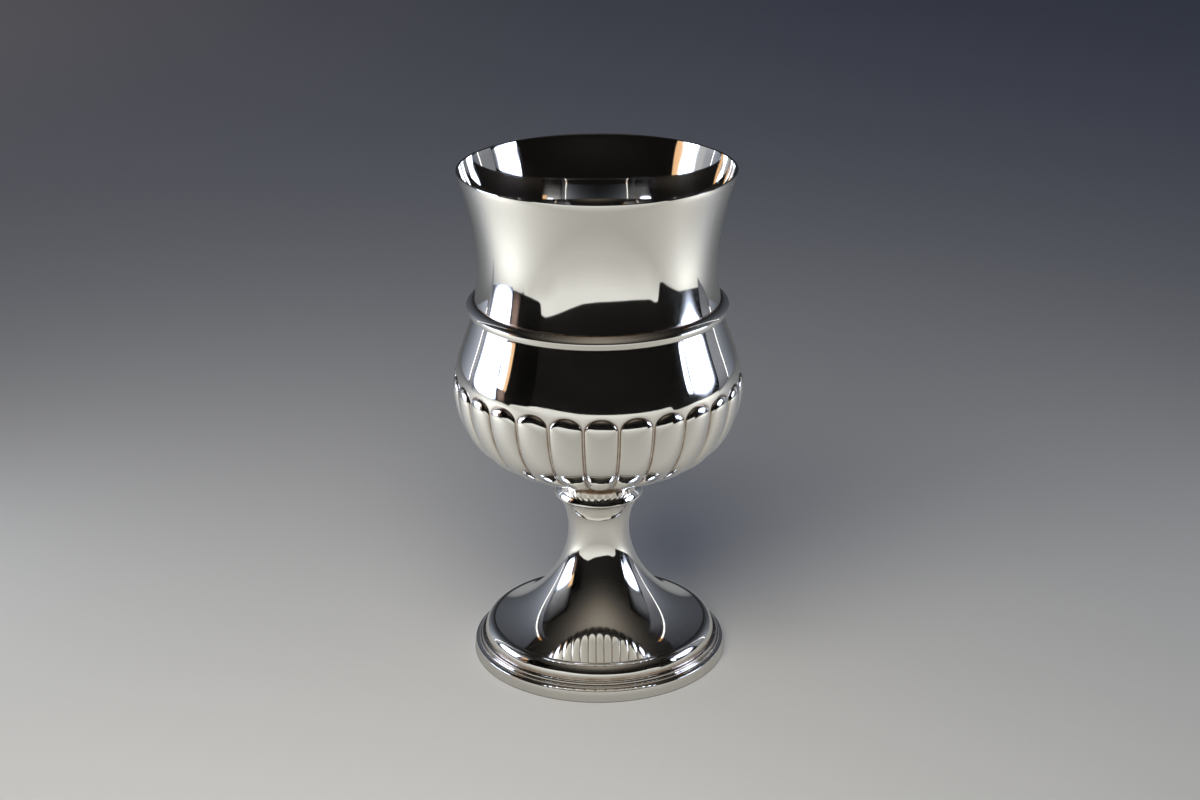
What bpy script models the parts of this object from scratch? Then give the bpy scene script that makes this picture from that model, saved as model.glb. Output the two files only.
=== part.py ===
"""A silver goblet with a campana bowl, chased lobes, a girdle wire, a collar and a trumpet foot.

Every piece is turned about the upright axis, which runs through the middle of the foot. The
origin is on the table under that middle. Lengths are in millimetres until they become vertices.
"""
import math

import bmesh
import bpy
from mathutils import Vector

MILLIMETRE = 0.001

# Driving dimensions
HEIGHT = 165.0
WALL = 0.8
SEAM = 0.3

RIM_RADIUS = 43.9
WAIST_RADIUS = 38.05
WAIST_HEIGHT = 134.0
BELLY_RADIUS = 45.6
BASE_RADIUS = 12.0
BASE_HEIGHT = 60.6
DISH_HEIGHT = 56.7

GIRDLE_HEIGHT = 119.7
GIRDLE_RADIUS = 39.75
GIRDLE_WIRE = 2.1
SEAT_ABOVE = (39.2, GIRDLE_HEIGHT + 1.8)
SEAT_BELOW = (39.75, GIRDLE_HEIGHT - 1.5)

LOBE_COUNT = 26
LOBE_RELIEF = 1.4
LOBE_TOP = 98.3
LOBE_ARCH = 4.2
LOBE_FULLNESS = 0.6

COLLAR_BORE = 9.3
COLLAR_ROUND = 5.2
COLLAR_SEAT = 55.7
COLLAR_THROAT = 57.9

STEM_TOP_RADIUS = 13.75
STEM_TOP = COLLAR_SEAT - SEAM - 0.05
STEM_RADIUS = 9.97
STEM_HEIGHT = 43.5

FOOT_EDGE_RADIUS = 34.8
FOOT_EDGE_HEIGHT = 10.6
FOOT_RADIUS = 41.8
OVOLO_HEIGHT = 6.0
BAND_HEIGHT = 3.7
BAND_THICKNESS = 1.5
REBATE_RADIUS = 33.2

# Straight facets round each surface: two for each lobe, and twice that on the lobes themselves
ROUND = 2 * LOBE_COUNT
LOBED_ROUND = 2 * ROUND


def curve(start, leaving, arriving, end, steps, crowding=1.0):
    """Points of a Bezier curve in the (radius, height) plane, without its first point.

    A crowding above one sets the points closer together near the start.
    """
    points = []
    for index in range(1, steps + 1):
        t = (index / steps) ** crowding
        weights = ((1 - t) ** 3, 3 * t * (1 - t) ** 2, 3 * t ** 2 * (1 - t), t ** 3)
        knots = (start, leaving, arriving, end)
        radius = sum(weight * knot[0] for weight, knot in zip(weights, knots))
        height = sum(weight * knot[1] for weight, knot in zip(weights, knots))
        points.append((radius, height))
    return points


def arc(centre, radii, first_degrees, last_degrees, steps):
    """Points of an elliptical arc, both ends included, angles from straight outwards."""
    points = []
    for index in range(steps + 1):
        angle = math.radians(first_degrees + (last_degrees - first_degrees) * index / steps)
        radius = centre[0] + radii[0] * math.cos(angle)
        height = centre[1] + radii[1] * math.sin(angle)
        points.append((radius, height))
    return points


def outward(points):
    """Unit normals of an outline that runs from top to bottom, pointing away from the axis."""
    normals = []
    for index in range(len(points)):
        before = Vector(points[max(index - 1, 0)])
        after = Vector(points[min(index + 1, len(points) - 1)])
        along = (after - before).normalized()
        normals.append(Vector((-along.y, along.x)))
    return normals


def inside_of(points):
    """The other face of the sheet: the same outline moved inwards by the wall."""
    moved = []
    for point, normal in zip(points, outward(points)):
        moved.append(tuple(Vector(point) - normal * WALL))
    return moved


def lobe_relief(radius, height, angle):
    """How far a lobe stands out of the plain bowl at one place."""
    pitch = 2 * math.pi / LOBE_COUNT
    across = abs(math.remainder(angle + math.pi / 2, pitch)) / (pitch / 2)
    below_top = min(max((LOBE_TOP - height) / LOBE_ARCH, 0.0), 1.0)
    dome = 1 - across ** 2 - (1 - below_top) ** 2
    if dome <= 0:
        return 0.0
    return LOBE_RELIEF * (radius / BELLY_RADIUS) * dome ** LOBE_FULLNESS


def ring(mesh, point, count=ROUND, normal=None):
    """One round of vertices, which follows the lobes where it is given the wall's normal."""
    vertices = []
    for index in range(count):
        angle = 2 * math.pi * index / count - math.pi / 2
        radius, height = point
        if normal:
            rise = lobe_relief(radius, height, angle)
            radius += normal.x * rise
            height += normal.y * rise
        place = Vector((radius * math.cos(angle), radius * math.sin(angle), height))
        vertices.append(mesh.verts.new(place * MILLIMETRE))
    return vertices


def join(mesh, first, second):
    """Skin two rounds, where either may have twice the vertices of the other."""
    if len(first) == len(second):
        for index in range(len(first)):
            following = (index + 1) % len(first)
            mesh.faces.new((first[index], second[index], second[following], first[following]))
        return
    coarse, fine = sorted((first, second), key=len)
    for index in range(len(coarse)):
        following = (index + 1) % len(coarse)
        middle = 2 * index + 1
        last = (2 * index + 2) % len(fine)
        mesh.faces.new((coarse[index], fine[2 * index], fine[middle]))
        mesh.faces.new((coarse[index], fine[middle], coarse[following]))
        mesh.faces.new((fine[middle], fine[last], coarse[following]))


def silver(name, roughness):
    """Polished sterling silver."""
    material = bpy.data.materials.new(name)
    material.use_nodes = True
    shader = material.node_tree.nodes["Principled BSDF"]
    shader.inputs["Base Color"].default_value = (0.93, 0.915, 0.88, 1.0)
    shader.inputs["Metallic"].default_value = 1.0
    shader.inputs["Roughness"].default_value = roughness
    return material


def finish(name, mesh, roughness):
    """Turn a bmesh into one closed, smooth-shaded object."""
    bmesh.ops.triangulate(mesh, faces=mesh.faces[:])
    bmesh.ops.recalc_face_normals(mesh, faces=mesh.faces[:])
    data = bpy.data.meshes.new(name)
    mesh.to_mesh(data)
    mesh.free()
    data.materials.append(silver("silver_" + name, roughness))
    data.shade_smooth()
    data.set_sharp_from_angle(angle=math.radians(35))
    piece = bpy.data.objects.new(name, data)
    bpy.context.scene.collection.objects.link(piece)
    print(name, len(data.polygons), "triangles")


def turned(name, section, roughness):
    """A closed (radius, height) section turned once round the axis."""
    mesh = bmesh.new()
    rounds = [ring(mesh, point) for point in section]
    for index in range(len(rounds)):
        join(mesh, rounds[index - 1], rounds[index])
    finish(name, mesh, roughness)


def neck_and_shoulder(neck_steps, seat_steps, shoulder_steps):
    """The plain part of the bowl: flared neck, seat of the girdle, swelling shoulder."""
    lip = (RIM_RADIUS, HEIGHT - WALL / 3)
    waist = (WAIST_RADIUS, WAIST_HEIGHT)
    lip_pull = (RIM_RADIUS - 1.0, lip[1] - 4.2)
    waist_pull = (WAIST_RADIUS, WAIST_HEIGHT + 16)
    seat_pull = (SEAT_ABOVE[0] - 0.55, SEAT_ABOVE[1] + 4)
    shoulder_pull = (SEAT_BELOW[0] + 3.3, SEAT_BELOW[1] - 12)
    belly = (BELLY_RADIUS, LOBE_TOP)
    points = [lip]
    points += curve(lip, lip_pull, waist_pull, waist, neck_steps)
    points += curve(waist, (WAIST_RADIUS, WAIST_HEIGHT - 4), seat_pull, SEAT_ABOVE, seat_steps)
    points += [SEAT_BELOW]
    points += curve(SEAT_BELOW, shoulder_pull, (BELLY_RADIUS, LOBE_TOP + 5.7), belly, shoulder_steps)
    return points


def underside(belly_steps, dish_steps):
    """The lobed part of the bowl down to the collar, and the dish that the collar hides."""
    belly = (BELLY_RADIUS, LOBE_TOP)
    base = (BASE_RADIUS, BASE_HEIGHT)
    middle = (BASE_RADIUS / 4, DISH_HEIGHT)
    belly_pull = (BELLY_RADIUS, LOBE_TOP - 30.8)
    base_pull = (BASE_RADIUS + 10.6, BASE_HEIGHT + 9.1)
    dish_pull = (BASE_RADIUS - 3.1, BASE_HEIGHT - 2.65)
    points = curve(belly, belly_pull, base_pull, base, belly_steps, crowding=1.9)
    return points, curve(base, dish_pull, (BASE_RADIUS / 2, DISH_HEIGHT), middle, dish_steps)


def bowl():
    """The cup: one raised sheet with a rounded lip, whose lobes show inside and out."""
    mesh = bmesh.new()
    plain = neck_and_shoulder(4, 2, 3)
    lobed, dish = underside(10, 1)
    skin = [ring(mesh, point) for point in plain[:-1]]
    lobed.insert(0, plain[-1])
    for point, normal in zip(lobed, outward(lobed)):
        skin.append(ring(mesh, point, LOBED_ROUND, normal))
    skin += [ring(mesh, point) for point in dish]

    inner_lobed, inner_dish = underside(5, 1)
    inner = inside_of(neck_and_shoulder(3, 1, 1) + inner_lobed + inner_dish)
    lining = [ring(mesh, (RIM_RADIUS - WALL / 2, HEIGHT))]
    for point, normal in zip(inner, outward(inner)):
        lining.append(ring(mesh, point, ROUND, normal))

    for rounds in (skin, lining):
        for first, second in zip(rounds, rounds[1:]):
            join(mesh, first, second)
        mesh.faces.new(rounds[-1])
    join(mesh, skin[0], lining[0])
    finish("bowl", mesh, 0.07)


def girdle_wire():
    """The half-round wire that covers the seam between neck and shoulder."""
    centre = (GIRDLE_RADIUS, GIRDLE_HEIGHT)
    section = arc(centre, (GIRDLE_WIRE, GIRDLE_WIRE), 80, -72, 4)
    section.append((SEAT_BELOW[0] + 1.5 * SEAM, SEAT_BELOW[1] - 0.1))
    section.append((SEAT_ABOVE[0] + SEAM, SEAT_ABOVE[1]))
    turned("girdle_wire", section, 0.1)


def stem_collar():
    """The quarter-round ring between bowl and stem, sharp below, bored through for the bowl."""
    centre = (COLLAR_BORE, COLLAR_SEAT - 0.55)
    section = arc(centre, (COLLAR_ROUND, COLLAR_ROUND), 62, 9, 3)
    section.append((COLLAR_BORE + COLLAR_ROUND - SEAM, COLLAR_SEAT))
    section.append((COLLAR_BORE, COLLAR_SEAT))
    section.append((COLLAR_BORE, COLLAR_THROAT))
    turned("stem_collar", section, 0.08)


def trumpet_foot():
    """The hollow stem and foot, raised as one sheet that flares out at both ends."""
    top = (STEM_TOP_RADIUS, STEM_TOP)
    waist = (STEM_RADIUS, STEM_HEIGHT)
    edge = (FOOT_EDGE_RADIUS, FOOT_EDGE_HEIGHT)
    outside = [top]
    outside += curve(top, (STEM_TOP_RADIUS - 1.85, STEM_TOP - 2.5), (STEM_RADIUS, STEM_HEIGHT + 6), waist, 3)
    outside += curve(waist, (STEM_RADIUS, STEM_HEIGHT - 9.9), (edge[0] - 18.2, edge[1] + 8.3), edge, 5)
    hollow = inside_of(outside)
    hollow[0] = (STEM_TOP_RADIUS - 1.2, STEM_TOP - 0.2)
    hollow[-1] = (FOOT_EDGE_RADIUS, FOOT_EDGE_HEIGHT - WALL)
    turned("trumpet_foot", outside + list(reversed(hollow)), 0.08)


def foot_rim():
    """The moulding round the foot: an ovolo, two reeds, a fillet and an upright band."""
    inner = FOOT_EDGE_RADIUS + SEAM
    ovolo = (FOOT_RADIUS - 3.5 - inner, FOOT_EDGE_HEIGHT - OVOLO_HEIGHT)
    section = arc((inner, OVOLO_HEIGHT), ovolo, 90, 4, 3)
    section += arc((FOOT_RADIUS - 2.95, OVOLO_HEIGHT - 0.65), (0.75, 0.75), 100, -10, 2)
    section += arc((FOOT_RADIUS - 2.05, OVOLO_HEIGHT - 1.5), (0.4, 0.4), 90, 0, 1)
    section.append((FOOT_RADIUS - 1.3, BAND_HEIGHT + 0.25))
    section.append((FOOT_RADIUS - 0.45, BAND_HEIGHT))
    section.append((FOOT_RADIUS, 0.0))
    section.append((FOOT_RADIUS - BAND_THICKNESS, 0.0))
    section.append((FOOT_RADIUS - BAND_THICKNESS, BAND_HEIGHT - 1.2))
    section.append((REBATE_RADIUS, FOOT_EDGE_HEIGHT - 1.4))
    section.append((REBATE_RADIUS, FOOT_EDGE_HEIGHT - 0.6))
    section.append((inner, FOOT_EDGE_HEIGHT - WALL - 0.45))
    turned("foot_rim", section, 0.1)


for leftover in list(bpy.data.objects):
    bpy.data.objects.remove(leftover)
bowl()
girdle_wire()
stem_collar()
trumpet_foot()
foot_rim()
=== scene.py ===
# %% [markdown]
# # A silver goblet
# The goblet is sterling silver, 165 mm high: a cup with a flared neck and a belly chased into
# 26 lobes, a half-round wire round its girdle, a ring under it, and a hollow trumpet foot with
# a moulded rim. This script dresses the measured solids of the goblet: it builds a finer mesh
# for each piece, gives it polished silver, and sets up the table, the lights and the camera.
# Lengths are written in millimetres and become metres where a mesh is made.

# %% The measured model
import math

import bmesh
import bpy
from mathutils import Matrix, Vector


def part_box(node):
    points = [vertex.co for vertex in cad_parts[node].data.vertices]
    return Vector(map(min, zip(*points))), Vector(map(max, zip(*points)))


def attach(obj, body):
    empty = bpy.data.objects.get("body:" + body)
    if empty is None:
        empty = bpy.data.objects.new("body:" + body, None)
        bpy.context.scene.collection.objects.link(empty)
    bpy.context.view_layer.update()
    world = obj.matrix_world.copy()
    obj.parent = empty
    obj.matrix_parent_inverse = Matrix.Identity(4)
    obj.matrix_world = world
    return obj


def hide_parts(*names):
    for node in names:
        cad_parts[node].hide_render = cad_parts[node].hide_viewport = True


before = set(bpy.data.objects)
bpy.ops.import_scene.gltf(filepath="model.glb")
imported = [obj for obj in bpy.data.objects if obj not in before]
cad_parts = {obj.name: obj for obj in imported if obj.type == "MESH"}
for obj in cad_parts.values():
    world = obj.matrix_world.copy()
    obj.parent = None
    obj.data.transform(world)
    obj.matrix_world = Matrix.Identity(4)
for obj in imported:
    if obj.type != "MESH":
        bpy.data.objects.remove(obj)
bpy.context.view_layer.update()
MM = 0.001
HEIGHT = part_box("bowl")[1].z / MM
FOOT_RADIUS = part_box("foot_rim")[1].x / MM
print("goblet", round(HEIGHT, 1), "mm high, foot", round(2 * FOOT_RADIUS, 1), "mm across")

# %% [markdown]
# ## Drawing a turned outline
# Every piece of the goblet was raised, spun or drawn on a round form, so its shape is an outline
# of (radius, height) pairs swept round the upright axis. The outline could be a modelled curve
# object with a Screw modifier. Here it is written as a few Bezier curves and arcs, because their
# handles are the numbers that a silversmith's template would carry.

# %% Curves and arcs of an outline
def curve(start, leaving, arriving, end, steps, crowding=1.0):
    """Points of a Bezier curve, both ends included, crowded towards the start above one."""
    points = []
    for index in range(steps + 1):
        t = (index / steps) ** crowding
        weights = ((1 - t) ** 3, 3 * t * (1 - t) ** 2, 3 * t ** 2 * (1 - t), t ** 3)
        knots = (start, leaving, arriving, end)
        points.append(tuple(sum(w * knot[axis] for w, knot in zip(weights, knots)) for axis in (0, 1)))
    return points


def arc(centre, radii, first_degrees, last_degrees, steps):
    """Points of an elliptical arc, both ends included, angles from straight outwards."""
    points = []
    for index in range(steps + 1):
        angle = math.radians(first_degrees + (last_degrees - first_degrees) * index / steps)
        points.append((centre[0] + radii[0] * math.cos(angle), centre[1] + radii[1] * math.sin(angle)))
    return points


def join_outlines(*runs):
    """One outline from several, without the doubled points where they meet."""
    outline = []
    for run in runs:
        for point in run:
            if not outline or math.dist(point, outline[-1]) > 1e-4:
                outline.append(point)
    return outline


print("a quarter circle in 4 steps:", [tuple(round(v, 2) for v in p) for p in arc((0, 0), (1, 1), 90, 0, 4)])

# %% [markdown]
# ## Turning an outline
# A closed outline swept round the axis gives a ring-shaped solid, such as the girdle wire. A
# Screw modifier does the same, but its seam has to be welded and its normals turned out
# afterwards. Making the rounds of vertices directly closes the seam by construction.

# %% Turn a closed outline into a ring
ROUND_STEPS = 260


def new_piece(name, mesh):
    """A smooth-shaded object at the origin, with its place in its mesh."""
    bmesh.ops.recalc_face_normals(mesh, faces=mesh.faces[:])
    data = bpy.data.meshes.new(name)
    mesh.to_mesh(data)
    mesh.free()
    data.shade_smooth()
    data.set_sharp_from_angle(angle=math.radians(50))
    piece = bpy.data.objects.new(name, data)
    bpy.context.scene.collection.objects.link(piece)
    return piece


def turned_ring(name, section):
    """A closed section, in millimetres, turned once round the axis."""
    mesh = bmesh.new()
    rounds = []
    for radius, height in section:
        vertices = []
        for index in range(ROUND_STEPS):
            angle = 2 * math.pi * index / ROUND_STEPS
            vertices.append(mesh.verts.new(Vector((radius * math.cos(angle), radius * math.sin(angle), height)) * MM))
        rounds.append(vertices)
    for first, second in zip(rounds, rounds[1:] + rounds[:1]):
        for index in range(ROUND_STEPS):
            after = (index + 1) % ROUND_STEPS
            mesh.faces.new((first[index], second[index], second[after], first[after]))
    piece = new_piece(name, mesh)
    print(name, 2 * len(piece.data.polygons), "triangles")
    return piece


# %% [markdown]
# ## The wall of the cup
# The cup is one sheet 0.8 mm thick: a flared neck with a rounded lip, a seat where the wire goes
# round, a swelling shoulder, then the lobed belly that runs in to the ring. Its outer outline is
# kept in two parts, above and below the tops of the lobes, because the lobes start in an arch
# that the mesh has to follow.

# %% Outline of the cup
WALL = 0.8
RIM_RADIUS = 43.9
WAIST = (38.05, 134.0)
SEAT_ABOVE = (39.5, 121.8)
SEAT_BELOW = (39.8, 118.8)
BELLY_RADIUS = 45.6
LOBE_TOP = 98.3
BASE = (12.0, 60.6)
DISH_HEIGHT = 56.7


def neck_and_shoulder(neck_steps, seat_steps, shoulder_steps):
    """The plain part of the cup from under the lip down to the tops of the lobes."""
    lip = (RIM_RADIUS, HEIGHT - WALL / 2)
    neck = curve(lip, (RIM_RADIUS - 0.95, lip[1] - 4.0), (WAIST[0], WAIST[1] + 16), WAIST, neck_steps)
    seat = curve(WAIST, (WAIST[0], WAIST[1] - 3.5), (SEAT_ABOVE[0] - 0.9, SEAT_ABOVE[1] + 3), SEAT_ABOVE, seat_steps)
    pull = (SEAT_BELOW[0] + 3.3, SEAT_BELOW[1] - 12)
    shoulder = curve(SEAT_BELOW, pull, (BELLY_RADIUS, LOBE_TOP + 5.7), (BELLY_RADIUS, LOBE_TOP), shoulder_steps)
    return join_outlines(neck, seat, shoulder)


def belly_and_dish(belly_steps, dish_steps):
    """The lobed part of the cup down to the ring, and the dish under the ring."""
    belly = curve((BELLY_RADIUS, LOBE_TOP), (BELLY_RADIUS, LOBE_TOP - 30.8), (BASE[0] + 10.6, BASE[1] + 9.1),
                  BASE, belly_steps, crowding=1.4)
    middle = (BASE[0] / 2, DISH_HEIGHT)
    dish = curve(BASE, (BASE[0] - 3.1, BASE[1] - 2.65), middle, (0.0, DISH_HEIGHT), dish_steps)
    return join_outlines(belly, dish)


print("wall of", WALL, "mm, belly", 2 * BELLY_RADIUS, "mm across between the lobes")

# %% [markdown]
# ## One gore of the cup
# The lobes repeat 26 times round the cup, so only one strip, a gore, is drawn: the outer wall,
# the lip and the lining of one lobe's share of the round. Between two lobes a narrow strip stays
# plain, and a chased line runs round each lobe. The columns crowd towards that line, where the
# surface turns fastest, and the rows bend to follow the arch at the top of the lobe, so that no
# edge of the relief cuts across a face.

# %% Columns and rows of the gore
LOBE_COUNT = 26
ARCH_RISE = 4.2
PLAIN_SHARE = 0.055
LINE_SHARE = 0.022
DOME_COLUMNS = 8
BEND_ABOVE = 5.0
BEND_BELOW = 14.0


def gore_columns():
    """Places across one lobe from -1 to 1, crowded towards the chased lines."""
    edge = 1 - PLAIN_SHARE
    half = [1.0, edge + LINE_SHARE, edge]
    half += [(edge - LINE_SHARE) * (1 - (index / DOME_COLUMNS) ** 1.5) for index in range(DOME_COLUMNS + 1)]
    return [-place for place in half] + list(reversed(half[:-1]))


def lengths_along(outline):
    """The running length of an outline at each of its points."""
    lengths = [0.0]
    for before, after in zip(outline, outline[1:]):
        lengths.append(lengths[-1] + math.dist(before, after))
    return lengths


def point_at(outline, lengths, wanted):
    """The point of an outline at a running length."""
    wanted = min(max(wanted, 0.0), lengths[-1])
    for index in range(1, len(lengths)):
        if wanted <= lengths[index]:
            share = (wanted - lengths[index - 1]) / (lengths[index] - lengths[index - 1])
            start, end = outline[index - 1], outline[index]
            return (start[0] + (end[0] - start[0]) * share, start[1] + (end[1] - start[1]) * share)
    return outline[-1]


def outline_normal(outline, lengths, wanted):
    """The unit normal of an outline that runs downwards, pointing away from the axis."""
    reach = 0.2
    before = Vector(point_at(outline, lengths, wanted - reach))
    after = Vector(point_at(outline, lengths, wanted + reach))
    along = (after - before).normalized()
    return (-along.y, along.x)


def arch_drop(across):
    """How far the edge of the lobe's top has dropped at a place across it."""
    share = min(abs(across) / (1 - PLAIN_SHARE), 1.0)
    return ARCH_RISE * (1 - math.sqrt(1 - share ** 2))


print(len(gore_columns()) - 1, "strips in each of", LOBE_COUNT, "gores")

# %% Build the gore
def build_gore():
    """One gore as a mesh, with the outward direction and the lining stored on its vertices."""
    outer = join_outlines(neck_and_shoulder(80, 24, 60), belly_and_dish(160, 24))
    lengths = lengths_along(outer)
    arch_at = lengths[len(neck_and_shoulder(80, 24, 60)) - 1]
    rows = [arch_at - arch_at * (index / 48) ** 1.3 for index in range(48, 0, -1)]
    rows += [arch_at - 0.12, arch_at, arch_at + 0.12]
    rows += [arch_at + (lengths[-1] - arch_at) * (index / 60) ** 1.45 for index in range(1, 61)]
    inner_rows = [0.0, 0.1] + [lengths[-1] * (index / 38) ** 1.5 for index in range(1, 39)]
    lip = arc((RIM_RADIUS - WALL / 2, HEIGHT - WALL / 2), (WALL / 2, WALL / 2), 150, 90, 2)
    lip += [(RIM_RADIUS - 0.12, HEIGHT - 0.03), (RIM_RADIUS, HEIGHT - 0.1)]
    columns = gore_columns()
    mesh = bmesh.new()
    across_layer = mesh.verts.layers.float.new("across")
    outward_layer = mesh.verts.layers.float_vector.new("outward")
    inside_layer = mesh.verts.layers.float.new("inside")

    def bent(row, across):
        """A row's running length, moved so that rows near the arch run parallel to it."""
        away = row - arch_at
        reach = BEND_BELOW if away > 0 else BEND_ABOVE
        weight = max(1 - abs(away) / reach, 0.0)
        return row + arch_drop(across) * weight ** 1.2

    def vertex(length, across, depth):
        """One vertex of the wall at a depth under its outer face."""
        radius, height = point_at(outer, lengths, length)
        normal = outline_normal(outer, lengths, length)
        centre = max(radius - normal[0] * depth, 0.0)
        height -= normal[1] * depth
        angle = across * math.pi / LOBE_COUNT - math.pi / 2
        direction = Vector((math.cos(angle), math.sin(angle), 0))
        made = mesh.verts.new((direction * centre + Vector((0, 0, height))) * MM)
        made[across_layer] = across
        made[outward_layer] = direction * normal[0] + Vector((0, 0, normal[1]))
        made[inside_layer] = depth / WALL
        return made

    def lip_row(across, radius, height):
        """One vertex of the lip, which joins the two faces of the wall."""
        angle = across * math.pi / LOBE_COUNT - math.pi / 2
        direction = Vector((math.cos(angle), math.sin(angle), 0))
        made = mesh.verts.new((direction * radius + Vector((0, 0, height))) * MM)
        made[across_layer] = across
        made[outward_layer] = direction
        made[inside_layer] = (RIM_RADIUS - radius) / WALL
        return made

    sheet = [[vertex(row, across, WALL) for across in columns] for row in reversed(inner_rows)]
    sheet += [[lip_row(across, *point) for across in columns] for point in lip]
    sheet += [[vertex(bent(row, across), across, 0.0) for across in columns] for row in rows]
    for first, second in zip(sheet, sheet[1:]):
        for index in range(len(columns) - 1):
            mesh.faces.new((first[index], second[index], second[index + 1], first[index + 1]))
    data = bpy.data.meshes.new("cup_gore")
    mesh.to_mesh(data)
    mesh.free()
    gore = bpy.data.objects.new("cup_gore", data)
    bpy.context.scene.collection.objects.link(gore)
    print("gore of", len(data.polygons), "faces")
    return gore


gore = build_gore()

# %% [markdown]
# ## Chasing the lobes
# On the real cup the lobes are pushed out from inside and their outlines are chased with a
# tracer. They could be sculpted, or cut with a Boolean. Geometry Nodes say it more directly:
# every point moves along the wall's outward direction by the lobe's relief, which is a dome
# across the lobe and under its arch, and inwards by the chased line round the lobe. The nearness
# of that line is kept on the vertices for the tarnish. Then 26 copies of the chased gore are
# turned round the axis and welded. The same tree serves any count, relief or arch.

# %% Helper for node trees
class Value:
    """A socket that can be used in Python expressions, each of which adds a Math node."""

    def __init__(self, tree, socket):
        self.tree = tree
        self.socket = socket

    def math(self, operation, *others):
        node = self.tree.nodes.new("ShaderNodeMath")
        node.operation = operation
        for index, value in enumerate((self, *others)):
            if isinstance(value, Value):
                self.tree.links.new(value.socket, node.inputs[index])
            else:
                node.inputs[index].default_value = value
        return Value(self.tree, node.outputs[0])

    def reflected(self, operation, other):
        node = self.tree.nodes.new("ShaderNodeMath")
        node.operation = operation
        node.inputs[0].default_value = other
        self.tree.links.new(self.socket, node.inputs[1])
        return Value(self.tree, node.outputs[0])

    def __add__(self, other):
        return self.math("ADD", other)

    def __radd__(self, other):
        return self.math("ADD", other)

    def __sub__(self, other):
        return self.math("SUBTRACT", other)

    def __rsub__(self, other):
        return self.reflected("SUBTRACT", other)

    def __mul__(self, other):
        return self.math("MULTIPLY", other)

    def __rmul__(self, other):
        return self.math("MULTIPLY", other)

    def __truediv__(self, other):
        return self.math("DIVIDE", other)

    def __rtruediv__(self, other):
        return self.reflected("DIVIDE", other)

    def __pow__(self, other):
        return self.math("POWER", other)

    def __abs__(self):
        return self.math("ABSOLUTE")

    def clamped(self):
        """The value kept between nought and one."""
        return self.math("MAXIMUM", 0.0).math("MINIMUM", 1.0)


class Nodes:
    """A node tree with one method that adds any node."""

    def __init__(self, tree):
        self.tree = tree

    def add(self, kind, settings=None, **values):
        """Add a node: its settings first, then the values or links of its sockets by name."""
        node = self.tree.nodes.new(kind)
        for name, setting in (settings or {}).items():
            setattr(node, name, setting)
        for name, value in values.items():
            socket = node.inputs[int(name[1:])] if name[1:].isdigit() else node.inputs[name.replace("_", " ")]
            if isinstance(value, Value):
                self.tree.links.new(value.socket, socket)
            else:
                socket.default_value = value
        return node

    def out(self, node, name=0):
        """One output of a node as a Value."""
        return Value(self.tree, node.outputs[name])


print("node helpers ready")

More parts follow.
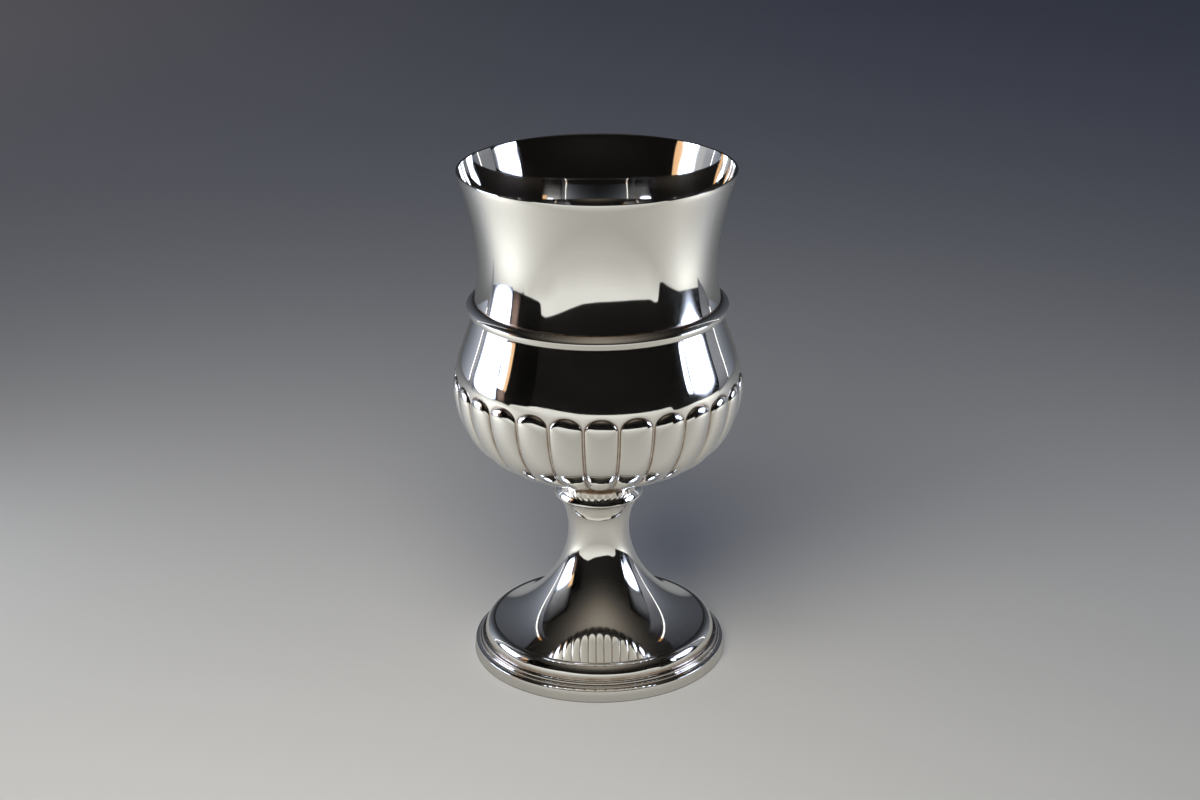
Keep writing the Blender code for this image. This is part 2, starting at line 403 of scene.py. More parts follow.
# %% The tree that chases and repeats the gore
def chasing_tree():
    """Relief of one gore, then all gores round the axis."""
    tree = bpy.data.node_groups.new("chased_lobes", "GeometryNodeTree")
    face = tree.interface
    face.new_socket("Geometry", in_out="INPUT", socket_type="NodeSocketGeometry")
    for name, kind, default in (
        ("Lobes", "NodeSocketInt", LOBE_COUNT),
        ("Relief", "NodeSocketFloat", 1.4 * MM),
        ("Belly Radius", "NodeSocketFloat", BELLY_RADIUS * MM),
        ("Base Radius", "NodeSocketFloat", BASE[0] * MM),
        ("Run Out", "NodeSocketFloat", 1.5 * MM),
        ("Lobe Top", "NodeSocketFloat", LOBE_TOP * MM),
        ("Arch Rise", "NodeSocketFloat", ARCH_RISE * MM),
        ("Fullness", "NodeSocketFloat", 0.58),
        ("Plain Share", "NodeSocketFloat", PLAIN_SHARE),
        ("Line Depth", "NodeSocketFloat", 0.16 * MM),
        ("Line Width", "NodeSocketFloat", 0.16 * MM),
        ("Weld", "NodeSocketFloat", 0.004 * MM),
        ("Metal", "NodeSocketMaterial", None),
    ):
        socket = face.new_socket(name, in_out="INPUT", socket_type=kind)
        if default is not None:
            socket.default_value = default
    face.new_socket("Geometry", in_out="OUTPUT", socket_type="NodeSocketGeometry")
    nodes = Nodes(tree)
    given = nodes.add("NodeGroupInput")

    def stored(name, kind="FLOAT"):
        return nodes.out(nodes.add("GeometryNodeInputNamedAttribute", {"data_type": kind}, Name=name), "Attribute")

    place = nodes.add("ShaderNodeSeparateXYZ", _0=nodes.out(nodes.add("GeometryNodeInputPosition")))
    x, y, z = (nodes.out(place, axis) for axis in "XYZ")
    radius = (x * x + y * y).math("SQRT")
    edge = 1 - nodes.out(given, "Plain Share")
    across = stored("across") / edge
    up = (1 - (nodes.out(given, "Lobe Top") - z) / nodes.out(given, "Arch Rise")).math("MAXIMUM", 0.0)
    inside_lobe = 1 - across * across - up * up
    size = radius / nodes.out(given, "Belly Radius")
    run_out = ((radius - nodes.out(given, "Base Radius")) / nodes.out(given, "Run Out") - 1).clamped()
    inside_lobe = inside_lobe - (1 - run_out) ** 2
    dome = inside_lobe.math("MAXIMUM", 0.0) ** nodes.out(given, "Fullness") * nodes.out(given, "Relief") * size

    half_lobe = radius * edge * math.pi / nodes.out(given, "Lobes")
    steep = ((across / half_lobe) ** 2 + (up / nodes.out(given, "Arch Rise")) ** 2).math("SQRT") * 2
    away = abs(inside_lobe) / steep.math("MAXIMUM", 1.0)
    line = 1 / (1 + (away / nodes.out(given, "Line Width")) ** 2)
    line = line * run_out * (1 - stored("inside"))
    rise = dome - line * line * nodes.out(given, "Line Depth")
    push = nodes.add("ShaderNodeVectorMath", {"operation": "SCALE"}, _0=stored("outward", "FLOAT_VECTOR"), Scale=rise)
    chased = nodes.add("GeometryNodeSetPosition", Geometry=nodes.out(given, "Geometry"), Offset=nodes.out(push))
    marked = nodes.add("GeometryNodeStoreNamedAttribute", {"data_type": "FLOAT", "domain": "POINT"},
                       Geometry=nodes.out(chased), Name="chased_line", Value=line)

    count = nodes.out(given, "Lobes")
    points = nodes.add("GeometryNodeMeshLine", Count=count, Offset=(0.0, 0.0, 0.0))
    order = nodes.out(nodes.add("GeometryNodeInputIndex"))
    turn = nodes.add("ShaderNodeCombineXYZ", Z=order * (2 * math.pi) / count)
    repeated = nodes.add(
        "GeometryNodeInstanceOnPoints",
        Points=nodes.out(points),
        Instance=nodes.out(marked),
        Rotation=nodes.out(turn),
    )
    real = nodes.add("GeometryNodeRealizeInstances", Geometry=nodes.out(repeated))
    welded = nodes.add("GeometryNodeMergeByDistance", Geometry=nodes.out(real), Distance=nodes.out(given, "Weld"))
    metal = nodes.add("GeometryNodeSetMaterial", Geometry=nodes.out(welded), Material=nodes.out(given, "Metal"))
    nodes.add("NodeGroupOutput", _0=nodes.out(metal))
    return tree


lobe_tree = chasing_tree()
print("tree with", len(lobe_tree.nodes), "nodes")

# %% [markdown]
# ## Polished silver
# All five pieces are the same metal: sterling silver, a touch warmer than white. A mirror has no
# colour of its own, so its look comes from three small things. Wheel and cloth leave hair-fine
# lines round the axis, which smear a little of each bright light across themselves, up and down
# the wall: that is a second, wide and stretched gloss mixed thinly over the mirror. The raised
# wall is never quite even, which a faint bump gives. And brown tarnish stays in the chased lines
# and in the joints, where no cloth reaches. It could be painted by hand. Here it follows the
# shape, by the chased line that the cup carries on its vertices and by places on the outline.

# %% Noise that runs in lines round the axis
SILVER = (0.93, 0.91, 0.872, 1.0)
TARNISH = (0.36, 0.22, 0.12, 1.0)


def turned_place(nodes):
    """Cosine and sine of the place round the axis, distance from it and height."""
    place = nodes.add("ShaderNodeSeparateXYZ", _0=nodes.out(nodes.add("ShaderNodeTexCoord"), "Object"))
    x, y, z = (nodes.out(place, axis) for axis in "XYZ")
    radius = (x * x + y * y).math("SQRT").math("MAXIMUM", 0.1 * MM)
    return x / radius, y / radius, radius, z


def noise(nodes, vector, detail=2.0):
    """Soft noise with its contrast raised, from nought to one."""
    made = nodes.add("ShaderNodeTexNoise", Vector=vector, Scale=1.0, Detail=detail)
    return ((nodes.out(made) - 0.5) * 2.6 + 0.5).clamped()


def lined(nodes, cosine, sine, along, round_scale, along_scale):
    """Noise stretched by its two scales: how fast it changes round the axis and along the wall."""
    vector = nodes.add("ShaderNodeCombineXYZ", X=cosine * round_scale, Y=sine * round_scale, Z=along * along_scale)
    return noise(nodes, nodes.out(vector), 3.0)


def groove(value, centre, width):
    """One at a place, falling off on both sides of it within a width, in millimetres."""
    away = (value - centre * MM) / (width * MM)
    return 1 / (1 + away * away) ** 2


print("line noise ready")

# %% Silver with its polishing lines and tarnish
def silver(name, slope, joints, chased=False, haze=0.03):
    """Polished silver whose wall runs along slope, tarnished at (axis, place, width) joints."""
    material = bpy.data.materials.new(name)
    material.use_nodes = True
    nodes = Nodes(material.node_tree)
    cosine, sine, radius, height = turned_place(nodes)
    along = radius * slope[0] + height * slope[1]

    tarnish = 0.0
    for axis, centre, width in joints:
        tarnish = groove(radius if axis == "r" else height, centre, width).math("MAXIMUM", tarnish)
    if chased:
        line = nodes.out(nodes.add("ShaderNodeAttribute", {"attribute_name": "chased_line"}), "Fac")
        tarnish = tarnish.math("MAXIMUM", line * 0.9)
    patchy = lined(nodes, cosine, sine, along, 9.0, 300.0)
    tarnish = (tarnish * (0.55 + 0.45 * patchy)).clamped()
    colour = nodes.out(nodes.add("ShaderNodeMix", {"data_type": "RGBA"}, _0=tarnish, _6=SILVER, _7=TARNISH), 2)

    round_lines = lined(nodes, cosine, sine, along, 2.5, 2600.0)
    cross_lines = lined(nodes, cosine, sine, along, 160.0, 70.0)
    uneven = lined(nodes, cosine, sine, along, 2.2, 45.0)
    bump = nodes.add("ShaderNodeBump", Strength=0.15, Distance=0.03 * MM, Height=uneven)

    mirror = material.node_tree.nodes["Principled BSDF"]
    smear = nodes.add("ShaderNodeBsdfPrincipled")
    for shader, anisotropy in ((mirror, 0.5), (smear, 0.9)):
        shader.inputs["Metallic"].default_value = 1.0
        shader.inputs["Anisotropic"].default_value = anisotropy
        shader.inputs["Anisotropic Rotation"].default_value = 0.25
        material.node_tree.links.new(colour.socket, shader.inputs["Base Color"])
        material.node_tree.links.new(bump.outputs["Normal"], shader.inputs["Normal"])
    smear.inputs["Roughness"].default_value = 0.36
    material.node_tree.links.new((0.04 + tarnish * 0.3).socket, mirror.inputs["Roughness"])
    share = haze * (0.45 + 0.8 * round_lines + 0.35 * cross_lines)
    mixed = nodes.add("ShaderNodeMixShader", _0=share, _1=nodes.out(mirror), _2=nodes.out(smear))
    output = material.node_tree.nodes["Material Output"]
    material.node_tree.links.new(mixed.outputs[0], output.inputs["Surface"])
    print("material", name, len(material.node_tree.nodes), "nodes")
    return material


silver_cup = silver("silver_cup", (0.3, 1.0), (("z", 118.7, 0.3), ("z", 123.1, 0.25), ("z", 60.4, 0.5)), chased=True)
silver_wire = silver("silver_wire", (1.0, 1.0), (("z", 118.9, 0.15), ("z", 122.9, 0.15)))
silver_collar = silver("silver_collar", (1.0, -1.0), (("r", 11.4, 0.5), ("z", 55.6, 0.15)))
silver_foot = silver("silver_foot", (1.0, -0.6), (("r", 35.0, 0.25), ("z", 55.6, 0.5)), haze=0.035)
silver_moulding = silver(
    "silver_moulding",
    (1.0, -1.0),
    (("r", 34.9, 0.2), ("r", 38.3, 0.12), ("r", 39.47, 0.1), ("r", 40.3, 0.12)),
)

# %% Chase and weld the cup
def evaluated_mesh(source, name):
    """The result of an object's modifiers as a plain object, and the source removed."""
    graph = bpy.context.evaluated_depsgraph_get()
    data = bpy.data.meshes.new_from_object(source.evaluated_get(graph), depsgraph=graph)
    data.name = name
    piece = bpy.data.objects.new(name, data)
    bpy.context.scene.collection.objects.link(piece)
    bpy.data.objects.remove(source)
    return piece


def chase_cup():
    modifier = gore.modifiers.new("chasing", "NODES")
    modifier.node_group = lobe_tree
    identifiers = {item.name: item.identifier for item in lobe_tree.interface.items_tree if item.in_out == "INPUT"}
    modifier[identifiers["Metal"]] = silver_cup
    cup = evaluated_mesh(gore, "cup")
    mesh = bmesh.new()
    mesh.from_mesh(cup.data)
    bmesh.ops.dissolve_degenerate(mesh, dist=0.001 * MM, edges=mesh.edges[:])
    bmesh.ops.recalc_face_normals(mesh, faces=mesh.faces[:])
    open_edges = sum(not edge.is_manifold for edge in mesh.edges)
    mesh.to_mesh(cup.data)
    mesh.free()
    cup.data.shade_smooth()
    cup.data.set_sharp_from_angle(angle=math.radians(50))
    cup.data.calc_loop_triangles()
    print("cup", len(cup.data.loop_triangles), "triangles,", open_edges, "open edges")
    return cup


cup = chase_cup()

# %% [markdown]
# ## The girdle wire, the ring and the foot
# The girdle is a half-round wire soldered over the step between neck and shoulder. The ring
# between cup and stem is a round wire, bored through. The stem and foot are one sheet, raised
# into a trumpet, and its edge sits in a moulding: an ovolo, two reeds and an upright band. All
# are turned from closed outlines like any other ring.

# %% Girdle wire
GIRDLE_EDGE = (41.72, 121.0)
GIRDLE_TOP = 122.95
GIRDLE_FOOT = 119.0


def girdle_outline():
    """A domed upper face, a tight bend at the edge, an upright front and a short underside."""
    dome = curve((39.2, GIRDLE_TOP), (40.1, GIRDLE_TOP - 0.1), (41.0, GIRDLE_EDGE[1] + 1.15), (41.5, GIRDLE_EDGE[1] + 0.5), 12)
    bend = curve((41.5, GIRDLE_EDGE[1] + 0.5), (41.66, GIRDLE_EDGE[1] + 0.3), (41.74, GIRDLE_EDGE[1] + 0.1), GIRDLE_EDGE, 8)
    front = curve(GIRDLE_EDGE, (41.72, 120.4), (41.55, 119.8), (41.3, 119.3), 10)
    under = [(41.1, 119.1), (40.8, GIRDLE_FOOT), (39.3, GIRDLE_FOOT), (38.8, 121.0), (38.7, 122.5)]
    return join_outlines(dome, bend, front, under)


girdle = turned_ring("girdle", girdle_outline())

# %% Collar under the cup
COLLAR_BORE = 9.3
COLLAR_SEAT = 55.7
COLLAR_EDGE = 14.44
COLLAR_SHOULDER = (13.38, 58.33)
COLLAR_TOP = (11.6, 59.75)


def collar_outline():
    """A nearly flat upper face, a bent shoulder, a round front and a sharp lower edge."""
    upper = curve((10.9, 60.0), (11.3, 59.95), (11.5, 59.85), COLLAR_TOP, 4)
    bend = curve(COLLAR_TOP, (12.7, 58.85), (13.15, 58.62), COLLAR_SHOULDER, 12)
    front = arc((9.78, 55.22), (4.72, 4.72), 40.5, 9, 18)
    under = [(COLLAR_EDGE - 0.05, COLLAR_SEAT + 0.14), (COLLAR_EDGE - 0.2, COLLAR_SEAT)]
    return join_outlines(upper, bend, front, under, [(COLLAR_BORE, COLLAR_SEAT), (COLLAR_BORE, 58.4)])


ring = turned_ring("ring", collar_outline())

# %% Trumpet of the stem and foot
STEM_TOP = (13.75, 55.35)
STEM_WAIST = (9.97, 43.5)
FOOT_EDGE = (34.9, 10.55)


def trumpet_outline():
    """Outer face of the sheet from the collar down to the moulding."""
    top = curve(STEM_TOP, (STEM_TOP[0] - 1.85, STEM_TOP[1] - 2.5), (STEM_WAIST[0], STEM_WAIST[1] + 6), STEM_WAIST, 24)
    foot = curve(STEM_WAIST, (STEM_WAIST[0], STEM_WAIST[1] - 9.9), (FOOT_EDGE[0] - 18.2, FOOT_EDGE[1] + 8.3), FOOT_EDGE, 64)
    return join_outlines(top, foot)


def lining_of(outline, wall):
    """The hidden face of a sheet, from bottom to top."""
    lengths = lengths_along(outline)
    points = []
    for point, length in zip(outline, lengths):
        normal = outline_normal(outline, lengths, length)
        points.append((point[0] - normal[0] * wall, point[1] - normal[1] * wall))
    return list(reversed(points[1:-1:3]))


outer_trumpet = trumpet_outline()
trumpet_lining = lining_of(outer_trumpet, WALL)
trumpet = turned_ring(
    "trumpet",
    join_outlines(
        outer_trumpet,
        [(FOOT_EDGE[0], FOOT_EDGE[1] - WALL)],
        trumpet_lining,
        [(STEM_TOP[0] - 1.2, STEM_TOP[1] - 0.2)],
    ),
)

# %% Moulding round the foot
BAND_HEIGHT = 3.7
BAND_WALL = 1.5


def moulding_outline():
    """Ovolo, two reeds, fillet and band, then the hidden face with its rebate."""
    ovolo = arc((35.1, 5.95), (3.2, 4.6), 90, 4, 20)
    first_reed = arc((38.87, 5.35), (0.72, 0.72), 128, -30, 10)
    second_reed = arc((39.8, 4.45), (0.42, 0.42), 120, -30, 8)
    band = [(40.3, 4.1), (41.2, 3.78), (41.38, 3.7), (41.45, 3.55), (41.8, 0.12), (41.72, 0.0)]
    hidden = [(FOOT_RADIUS - BAND_WALL, 0.0), (FOOT_RADIUS - BAND_WALL, 2.5), (33.2, 9.2), (33.2, 10.0), (35.05, 9.4)]
    return join_outlines(ovolo, first_reed, second_reed, band, hidden)


moulding = turned_ring("moulding", moulding_outline())

# %% [markdown]
# ## Putting the pieces in the frame
# Each fine mesh takes the place of the plain solid of the same piece. The goblet has no moving
# part, so every piece rides on the one body, and each wears its own silver.

# %% Ride, replace and finish
for piece, node, material, slot in (
    (cup, "bowl", silver_cup, "silver_bowl"),
    (girdle, "girdle_wire", silver_wire, "silver_girdle"),
    (ring, "stem_collar", silver_collar, "silver_collar"),
    (trumpet, "trumpet_foot", silver_foot, "silver_foot"),
    (moulding, "foot_rim", silver_moulding, "silver_foot_rim"),
):
    piece.data.materials.clear()
    piece.data.materials.append(material)
    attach(piece, "root")
    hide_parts(node)
    low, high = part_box(node)
    print(piece.name, "stands for", node, [round(v / MM, 1) for v in high - low], "mm")

# %% [markdown]
# ## The table and what the silver mirrors
# Polished silver shows its surroundings more than itself, so the studio is part of its look. A
# wide pale table carries the goblet. Lamps alone would leave the silver black between their
# highlights, so it needs something to mirror on every side: a sheet of paper whose front edge
# curls up, two soft boxes, and dim panels behind. These are cards that only the silver sees.
# Each card is a grid whose corners carry a colour, worked out by a short formula for its light:
# the cards glow with painted light, so the camera can go anywhere and finds a plain table.

# %% Table
def matt(name, roughness=0.9):
    """A matt material, its nodes and its shader."""
    material = bpy.data.materials.new(name)
    material.use_nodes = True
    shader = material.node_tree.nodes["Principled BSDF"]
    shader.inputs["Roughness"].default_value = roughness
    shader.inputs["Specular IOR Level"].default_value = 0.0
    return material, Nodes(material.node_tree), shader


def paper_with_painted_falloff():
    """Paper with a painted falloff of light: pale round the goblet and greyer further off."""
    material, nodes, shader = matt("paper_with_painted_falloff")
    place = nodes.out(nodes.add("ShaderNodeTexCoord"), "Object")
    away = nodes.out(nodes.add("ShaderNodeVectorMath", {"operation": "LENGTH"}, _0=place), "Value")
    # painted light falloff: the paper's colour greys with distance from the goblet, standing in for light that fades
    ramp = nodes.add("ShaderNodeValToRGB", _0=away / 1.6)
    elements = ramp.color_ramp.elements
    elements[0].position = 0.1
    elements[0].color = (0.78, 0.78, 0.78, 1.0)
    elements[1].position = 0.8
    elements[1].color = (0.60, 0.60, 0.60, 1.0)
    material.node_tree.links.new(ramp.outputs["Color"], shader.inputs["Base Color"])
    return material


def stage_piece(name, corners, faces, material):
    """A stage object from its corners, in millimetres, and its faces."""
    data = bpy.data.meshes.new(name)
    data.from_pydata([Vector(corner) * MM for corner in corners], [], faces)
    data.materials.append(material)
    data.shade_smooth()
    made = bpy.data.objects.new(name, data)
    bpy.context.scene.collection.objects.link(made)
    return made


def dish(rounds, count=96):
    """Corners and faces of a turned surface with a closed middle."""
    corners = [(0, 0, rounds[0][1])]
    faces = []
    for radius, height in rounds:
        for index in range(count):
            angle = 2 * math.pi * index / count
            corners.append((radius * math.cos(angle), radius * math.sin(angle), height))
    for index in range(count):
        faces.append((0, 1 + index, 1 + (index + 1) % count))
    for ring_index in range(len(rounds) - 1):
        first = 1 + ring_index * count
        second = first + count
        for index in range(count):
            after = (index + 1) % count
            faces.append((first + index, second + index, second + after, first + after))
    return corners, faces


wide_outline = [(200, 0), (700, 0), (1400, 0)] + arc((1900, 900), (900, 900), -90, 0, 16) + [(2800, 2200)]
table = stage_piece("table", *dish(wide_outline), paper_with_painted_falloff())
table.visible_glossy = False
table.visible_shadow = False
print("table", len(table.data.polygons), "faces")


# %% Lamps of the table
def lamp(name, place, aim, size, power, colour):
    """A flat lamp that lights the table and that the silver doesn't show."""
    data = bpy.data.lights.new(name, "AREA")
    data.shape = "RECTANGLE"
    data.size = size[0] * MM
    data.size_y = size[1] * MM
    data.energy = power
    data.color = colour
    light = bpy.data.objects.new(name, data)
    light.location = Vector(place) * MM
    light.rotation_euler = Vector(aim).to_track_quat("-Z", "Y").to_euler()
    light.visible_camera = False
    light.visible_glossy = False
    bpy.context.scene.collection.objects.link(light)
    print(name, power, "W")


lamp("key_lamp", (-150, -420, 500), (0, 0, -1), (500, 500), 3.3, (1.0, 0.964, 0.87))
lamp("room_lamp", (-200, 500, 2500), (0, 0, -1), (2400, 2400), 3.1, (0.78, 1.0, 1.7))
lamp("back_lamp", (-900, 1200, 700), (0, 0, -1), (700, 700), 0.85, (1.0, 0.88, 0.75))
lamp("left_lamp", (-322, 40, 110), (1, 0, 0), (160, 120), 0.09, (0.95, 1.0, 1.05))
lamp("right_lamp", (397, -4, 140), (-1, 0, 0), (170, 130), 0.08, (0.9, 1.0, 1.1))

# %% Cards that only the silver sees
def studio_glow():
    """A surface that shines in the colour its corners carry."""
    material, nodes, shader = matt("studio_glow")
    shader.inputs["Base Color"].default_value = (0.0, 0.0, 0.0, 1.0)
    shader.inputs["Emission Strength"].default_value = 1.0
    glow = nodes.add("ShaderNodeVertexColor", {"layer_name": "glow"})
    material.node_tree.links.new(glow.outputs["Color"], shader.inputs["Emission Color"])
    material.cycles.emission_sampling = "NONE"
    return material


glow_material = studio_glow()


def card(name, rows, light):
    """A grid of corners in rows, each coloured by a function of its place."""
    corners = [corner for row in rows for corner in row]
    across = len(rows[0])
    faces = []
    for first_row in range(len(rows) - 1):
        for column in range(across - 1):
            first = first_row * across + column
            faces.append((first, first + 1, first + across + 1, first + across))
    made = stage_piece(name, corners, faces, glow_material)
    colours = made.data.color_attributes.new("glow", "FLOAT_COLOR", "POINT")
    for index, corner in enumerate(corners):
        colours.data[index].color = (*light(*corner), 1.0)
    made.visible_camera = False
    made.visible_diffuse = False
    made.visible_shadow = False
    print(name, len(faces), "faces")
    return made


def spread(low, high, count):
    """Evenly spaced numbers, both ends included."""
    return [low + (high - low) * index / count for index in range(count + 1)]


def eased(share):
    """Nought to one with a soft start and end."""
    share = min(max(share, 0.0), 1.0)
    return share * share * (3 - 2 * share)


def band(value, low, high, soft):
    """One between two limits, falling softly to nought just inside them."""
    return eased((value - low) / soft) * eased((high - value) / soft)


def read_off(stops, place):
    """A value read off (place, value) stops, straight between them."""
    for (start, first), (end, last) in zip(stops, stops[1:]):
        if place <= end:
            return first + (last - first) * max(place - start, 0.0) / (end - start)
    return stops[-1][1]


def tinted(level, tint):
    """A colour of one strength and tint."""
    return tuple(level * part for part in tint)


print("card helpers ready")

# %% Paper under the goblet, with its front edge curled up
LEFT_BOX = -320
RIGHT_BOX = 395
SHEET_REACH = (
    (-180, 610), (-119, 610), (-117, 520), (-111, 520), (-110, 560), (-83, 560), (-72, 440), (-48, 441), (-36, 344),
    (-14, 307), (0, 300), (30, 328), (46, 312), (52, 385), (57, 364), (60, 363), (68, 404), (79, 462), (103, 478),
    (112, 490), (119, 610), (180, 610),
)
SHEET_RISE = ((-72, 0), (-70, 30), (-48, 78), (-36, 81), (-14, 60), (30, 46), (46, 54), (54, 44), (57, 0))
SHEET_LIGHT = (
    (-381, 0.60), (-286, 0.50), (-213, 0.42), (-171, 0.33), (-50, 0.36), (32, 0.20), (230, 0.11), (560, 0.08),
    (1100, 0.05),
)
CURL = 80


def sheet_rows():
    """Rings of the sheet, out to its edge in every direction; straight ahead is nought degrees."""
    rows = []
    for share in spread(0.0, 1.0, 48):
        row = []
        for degrees in spread(-180, 180, 240):
            reach = read_off(SHEET_REACH, degrees)
            away = FOOT_RADIUS * 0.5 + (reach - FOOT_RADIUS * 0.5) * share
            lift = read_off(SHEET_RISE, degrees) * max((away - reach + CURL) / CURL, 0.0) ** 2
            turn = math.radians(degrees)
            row.append((away * math.sin(turn), -away * math.cos(turn), 0.2 + lift))
        rows.append(row)
    return rows


def sheet_light(x, y, z):
    """Brighter in front and near the soft boxes, shaded close to the foot."""
    level = read_off(SHEET_LIGHT, y)
    # painted light: the curled edge grows brighter as it rises
    level *= 1 + 0.45 * min(z / 35, 1.0)
    # a painted sheen on the paper near each soft box
    for side, strength in ((LEFT_BOX, 0.9), (RIGHT_BOX, 0.8)):
        away = math.hypot(x - side, y - 10) / 200
        level += strength / (1 + away ** 2) ** 2
    # painted shade on the paper round the foot
    level *= 1 - 0.3 * math.exp(-max(math.hypot(x, y) - FOOT_RADIUS, 0.0) / 15)
    # painted tint of the light: cooler behind, warmer where bright
    bright = eased((level - 0.3) / 0.5)
    cool = eased((y + 40) / 160) * (1 - bright)
    return tinted(level, (1.0 - 0.05 * cool, 0.976 + 0.03 * bright, 0.90 + 0.06 * bright + 0.12 * cool))


card("mirrored_sheet", sheet_rows(), sheet_light)


# %% Soft boxes
BOX_TINT = (0.75, 0.85, 1.1)
BOX_STRENGTH = 6.0


def upright(first, last, low, high, columns=24, rows=32):
    """Rows of corners of an upright card between two places on the table."""
    grid = []
    for z in spread(low, high, rows):
        row = []
        for share in spread(0.0, 1.0, columns):
            row.append((first[0] + (last[0] - first[0]) * share, first[1] + (last[1] - first[1]) * share, z))
        grid.append(row)
    return grid


def rounded(y, z, low, high, soft, soft_below):
    """One inside a rounded box between two (y, z) corners, falling off within a length outside it."""
    half = ((high[0] - low[0]) / 2, (high[1] - low[1]) / 2)
    across = (y - (low[0] + high[0]) / 2) / half[0]
    up = (z - (low[1] + high[1]) / 2) / half[1]
    away = ((abs(across) ** 3 + abs(up) ** 3) ** (1 / 3) - 1) * half[1]
    return math.exp(-max(away, 0.0) / (soft_below if up < 0 else soft))


def left_light(x, y, z):
    """The left soft box."""
    return tinted(BOX_STRENGTH * rounded(y, z, (-38, 44), (108, 150), 5, 5), BOX_TINT)


def right_light(x, y, z):
    """The right soft box, which fades downwards."""
    fade = 5 + 17 * math.exp(-((y + 8) / 45) ** 2)
    return tinted(BOX_STRENGTH * rounded(y, z, (-91, 90), (58, 206), 5, fade), BOX_TINT)


def brown_light(x, y, z):
    """A dim brown strip at the near end of the left box."""
    return tinted(band(y, -98, -36, 26) * eased((z - 30) / 50), (0.26, 0.175, 0.14))


card("left_soft_box", upright((LEFT_BOX, 132), (LEFT_BOX, -36), 36, 160, 40, 40), left_light)
card("right_soft_box", upright((RIGHT_BOX, -110), (RIGHT_BOX, 100), 24, 222, 42, 60), right_light)
card("brown_strip", upright((LEFT_BOX, -36), (LEFT_BOX, -98), 40, 128, 24, 12), brown_light)


# %% Far walls
FAR = 1100
LEFT_WALL_BOX = ((-150, 120), (150, 452))
RIGHT_WALL_BOX = ((-330, 120), (110, 505))
AMBER = (0.95, 0.58, 0.30)


def left_wall_light(x, y, z):
    """A far lit window, an amber strip beside it, and a grey wall that fades upwards."""
    box = BOX_STRENGTH * rounded(y, z, *LEFT_WALL_BOX, 14, 14)
    amber = band(y, -310, -105, 30) * eased((620 - z) / 60)
    wall = (0.09 + 0.4 * math.exp(-max(z - 460, 0) / 130)) * eased((1250 - z) / 500)
    wall *= band(y, -330, 560, 260) * (1 - amber)
    return tuple(box * a + amber * b + wall * c for a, b, c in zip(BOX_TINT, AMBER, (0.98, 1.0, 1.05)))


def right_wall_light(x, y, z):
    """A far lit window on a dim wall."""
    box = BOX_STRENGTH * rounded(y, z, *RIGHT_WALL_BOX, 14, 14)
    wall = 0.10 * eased((1250 - z) / 500) * band(y, -330, 560, 260)
    return tuple(box * a + wall * b for a, b in zip(BOX_TINT, (0.97, 0.99, 1.06)))


card("left_wall", upright((-FAR, 560), (-FAR, -340), 100, 1250, 90, 92), left_wall_light)
card("right_wall", upright((FAR, -340), (FAR, 560), 100, 1250, 90, 92), right_wall_light)


# %% Dark flag, side panels and backdrop
BACK = 600
CORNER = (520, 300)


def around(first, last, away, low, high, columns=48, rows=24):
    """Rows of corners of an upright card bent round the goblet, between two directions."""
    grid = []
    for z in spread(low, high, rows):
        turns = [math.radians(degrees) for degrees in spread(first, last, columns)]
        grid.append([(away * math.sin(turn), -away * math.cos(turn), z) for turn in turns])
    return grid


FLAG_EDGE = ((-73, 62), (-62, 67), (-54, 73), (-52, 77), (-51, 84), (-50, 104))
FLAG_TOP = 200


def flag_rows():
    """Rows of a dark flag whose lower edge rises towards the front and ends in a round corner."""
    grid = []
    for share in spread(0.0, 1.0, 4):
        row = []
        for degrees in spread(-73, -50, 46):
            low = read_off(FLAG_EDGE, degrees)
            turn = math.radians(degrees)
            row.append((263 * math.sin(turn), -263 * math.cos(turn), low + (FLAG_TOP - low) * share))
        grid.append(row)
    return grid


def no_light(x, y, z):
    """A flag is black."""
    return (0.0, 0.0, 0.0)


def panel_light(x, y, z):
    """A grey wall beside each soft box, brightest at the box's height."""
    level = 0.36 if x < 0 else 0.2
    return tinted(0.09 * eased((700 - z) / 300) + level * math.exp(-((z - 150) / 120) ** 2), (0.92, 0.96, 1.08))


def strip_light(x, y, z):
    """The lit edge of the backdrop, amber at its top."""
    amber = eased((z - 740) / 40)
    return (2.4 - 1.8 * amber, 2.4 - 2.1 * amber, 2.4 - 2.3 * amber)


def backdrop_light(x, y, z):
    """Lit from both sides, more from the left, and darker upwards."""
    degrees = math.degrees(math.atan2(abs(x), -y))
    side = 0.55 if x < 0 else 0.3
    level = 0.035 + side * math.exp(-(degrees - 120) / 17)
    return tinted(level / (1 + (z / 330) ** 2), (0.86, 0.94, 1.12))


card("dark_flag", flag_rows(), no_light)
card("backdrop", around(121, 239, BACK, 0, 720), backdrop_light)
for side, box, near in ((-1, LEFT_BOX, 134), (1, RIGHT_BOX, 101)):
    corner = (side * CORNER[0], CORNER[1])
    name = "left" if side < 0 else "right"
    card(name + "_panel", upright((box, near), corner, 0, 620), panel_light)
    card(name + "_strip", upright(corner, (side * (CORNER[0] + 16), CORNER[1] + 32), 20, 860), strip_light)

# %% Room
CEILING_GLOW = (0.01, -0.29, 0.957)


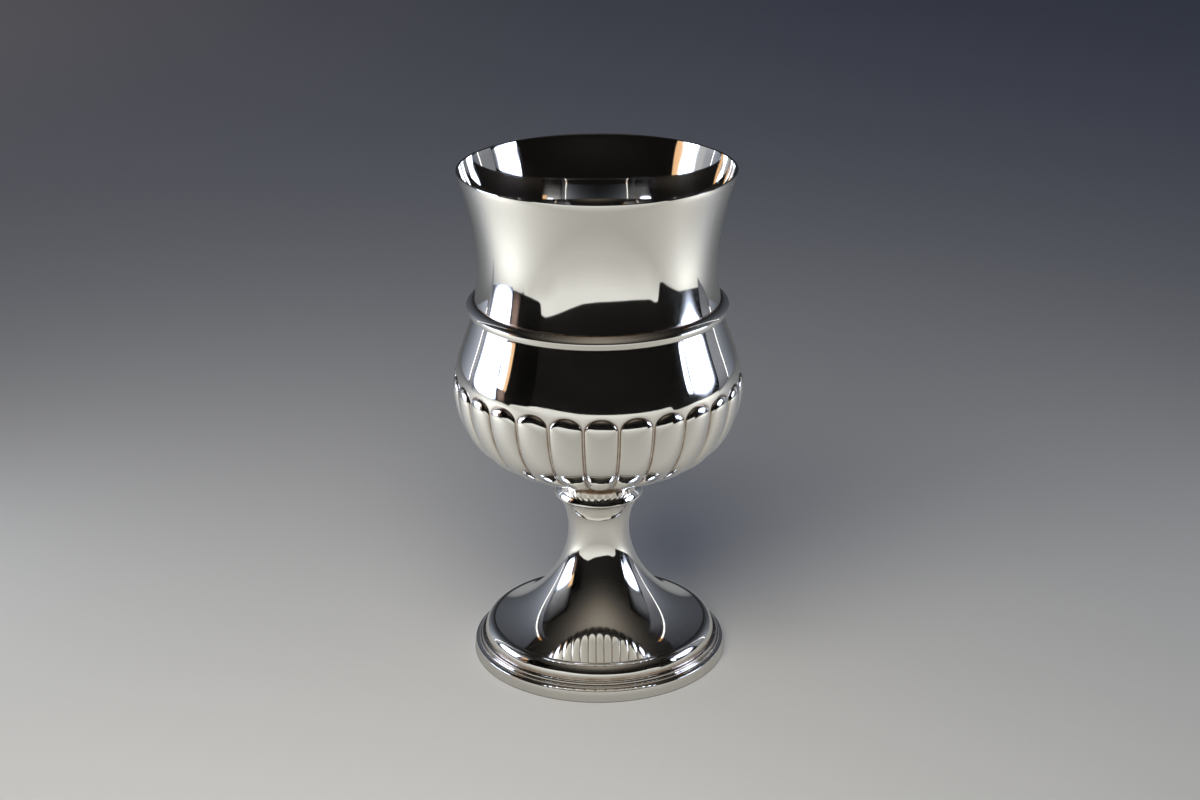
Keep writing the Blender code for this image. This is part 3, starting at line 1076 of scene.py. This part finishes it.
def room():
    """A dim room with one warm glow high in front."""
    world = bpy.data.worlds.new("room")
    bpy.context.scene.world = world
    world.use_nodes = True
    nodes = Nodes(world.node_tree)
    direction = nodes.out(nodes.add("ShaderNodeTexCoord"), "Generated")
    facing = nodes.add("ShaderNodeVectorMath", {"operation": "DOT_PRODUCT"}, _0=direction, _1=CEILING_GLOW)
    near = ((nodes.out(facing, "Value") - 1) * 10.5).math("EXPONENT")
    glow = nodes.add("ShaderNodeMix", {"data_type": "RGBA"}, _0=near, _6=(0.004, 0.0036, 0.0034, 1.0), _7=(0.25, 0.225, 0.19, 1.0))
    background = world.node_tree.nodes["Background"]
    world.node_tree.links.new(glow.outputs[2], background.inputs["Color"])
    world.cycles_visibility.diffuse = False
    print("room with", len(world.node_tree.nodes), "nodes")


room()

# %% [markdown]
# ## The camera
# The photograph was taken a little from above, with a short telephoto lens. Distance, height,
# tilt and lens were fitted to the ellipses of the rim, the girdle and the foot.

# %% Camera
CAMERA_DISTANCE = 644.5
CAMERA_HEIGHT = 333.1
CAMERA_PITCH = 20.85
CAMERA_ROLL = -0.27
CAMERA_SIDE = 0.6
LOBE_TURN = 1.2
LENS = 64.0


def place_camera():
    data = bpy.data.cameras.new("camera")
    data.lens = LENS
    data.sensor_width = 36.0
    data.clip_start = 0.01
    data.clip_end = 20.0
    camera = bpy.data.objects.new("camera", data)
    turn = math.radians(-LOBE_TURN)
    across = Vector((math.cos(turn), math.sin(turn), 0))
    back = Vector((math.sin(turn), -math.cos(turn), 0))
    camera.location = (across * CAMERA_SIDE + back * CAMERA_DISTANCE + Vector((0, 0, CAMERA_HEIGHT))) * MM
    aim = Matrix.Rotation(turn, 3, "Z") @ Matrix.Rotation(math.radians(90 - CAMERA_PITCH), 3, "X")
    aim = aim @ Matrix.Rotation(math.radians(CAMERA_ROLL), 3, "Z")
    camera.rotation_euler = aim.to_euler()
    bpy.context.scene.collection.objects.link(camera)
    bpy.context.scene.camera = camera
    return camera


camera = place_camera()
bpy.context.scene.view_settings.view_transform = "Standard"
bpy.context.scene.view_settings.look = "None"
print("camera", [round(v, 3) for v in camera.location])
